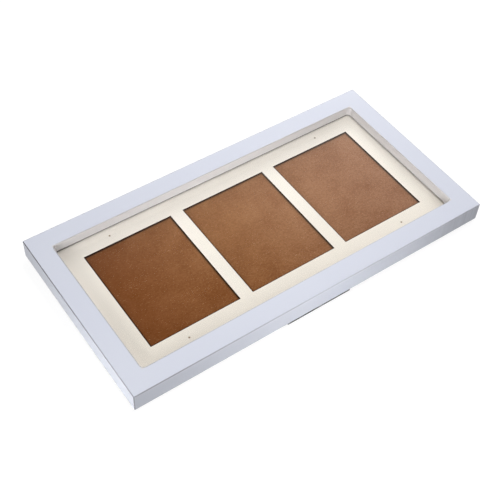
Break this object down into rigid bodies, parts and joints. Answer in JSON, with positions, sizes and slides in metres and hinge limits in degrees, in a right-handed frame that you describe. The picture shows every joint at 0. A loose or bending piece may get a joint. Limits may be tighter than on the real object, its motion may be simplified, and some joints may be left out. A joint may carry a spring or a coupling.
{
  "type": "collage photo frame",
  "caption": "Long low white picture frame with upright windows side by side in a cream mat behind glass, a brown backboard held by turn buttons, and a hinged strut.",
  "frame": {"origin": "centre of the footprint, on the surface that the folded strut's underside rests on", "axes": "+X along the long side, +Y from the bottom rail to the top rail, +Z out of the frame's face"},
  "size_m": [0.406, 0.206, 0.0238],
  "materials": {
    "white_satin_paint": "satin white paint on fine board, edges broken by a hair",
    "clear_glass": "clear polished float glass",
    "cream_mat_board": "matt cream faced mat board with a brown core",
    "brown_hardboard": "smooth pressed hardboard with fine fibre flecks",
    "black_fibreboard": "matt black faced fibreboard",
    "zinc_steel": "bright zinc plate",
    "brassed_steel": "thin brass plate on pressed steel"
  },
  "bodies": {
    "frame": {"frame_body": "white_satin_paint", "glass_pane": "clear_glass", "window_mat": "cream_mat_board", "backboard": "brown_hardboard", "hinge_board_leaf": "zinc_steel", "hinge_pin": "zinc_steel", "hinge_screws": "zinc_steel", "turn_button_screws": "zinc_steel", "hanger_left": "brassed_steel", "hanger_right": "brassed_steel", "hanger_nails": "brassed_steel"},
    "strut_leg": {"strut": "black_fibreboard", "hinge_strut_leaf": "zinc_steel", "hinge_rivets": "zinc_steel"},
    "turn_button_top_left": {"turn_button_top_left": "zinc_steel"},
    "turn_button_top_right": {"turn_button_top_right": "zinc_steel"},
    "turn_button_bottom_left": {"turn_button_bottom_left": "zinc_steel"},
    "turn_button_bottom_right": {"turn_button_bottom_right": "zinc_steel"},
    "turn_button_left_upper": {"turn_button_left_upper": "zinc_steel"},
    "turn_button_left_lower": {"turn_button_left_lower": "zinc_steel"},
    "turn_button_right_upper": {"turn_button_right_upper": "zinc_steel"},
    "turn_button_right_lower": {"turn_button_right_lower": "zinc_steel"}
  },
  "joints": [
    {"name": "strut_hinge", "type": "hinge", "parent": "frame", "child": "strut_leg", "pos_m": [0, 0.045, 0.00135], "axis": [1, 0, 0], "range_deg": [0, 32]},
    {"name": "turn_top_left", "type": "hinge", "parent": "frame", "child": "turn_button_top_left", "pos_m": [-0.095, 0.096, 0.0028], "axis": [0, 0, 1], "continuous": true},
    {"name": "turn_top_right", "type": "hinge", "parent": "frame", "child": "turn_button_top_right", "pos_m": [0.095, 0.096, 0.0028], "axis": [0, 0, 1], "continuous": true},
    {"name": "turn_bottom_left", "type": "hinge", "parent": "frame", "child": "turn_button_bottom_left", "pos_m": [-0.095, -0.096, 0.0028], "axis": [0, 0, 1], "continuous": true},
    {"name": "turn_bottom_right", "type": "hinge", "parent": "frame", "child": "turn_button_bottom_right", "pos_m": [0.095, -0.096, 0.0028], "axis": [0, 0, 1], "continuous": true},
    {"name": "turn_left_upper", "type": "hinge", "parent": "frame", "child": "turn_button_left_upper", "pos_m": [-0.196, 0.05, 0.0028], "axis": [0, 0, 1], "continuous": true},
    {"name": "turn_left_lower", "type": "hinge", "parent": "frame", "child": "turn_button_left_lower", "pos_m": [-0.196, -0.05, 0.0028], "axis": [0, 0, 1], "continuous": true},
    {"name": "turn_right_upper", "type": "hinge", "parent": "frame", "child": "turn_button_right_upper", "pos_m": [0.196, 0.05, 0.0028], "axis": [0, 0, 1], "continuous": true},
    {"name": "turn_right_lower", "type": "hinge", "parent": "frame", "child": "turn_button_right_lower", "pos_m": [0.196, -0.05, 0.0028], "axis": [0, 0, 1], "continuous": true}
  ]
}
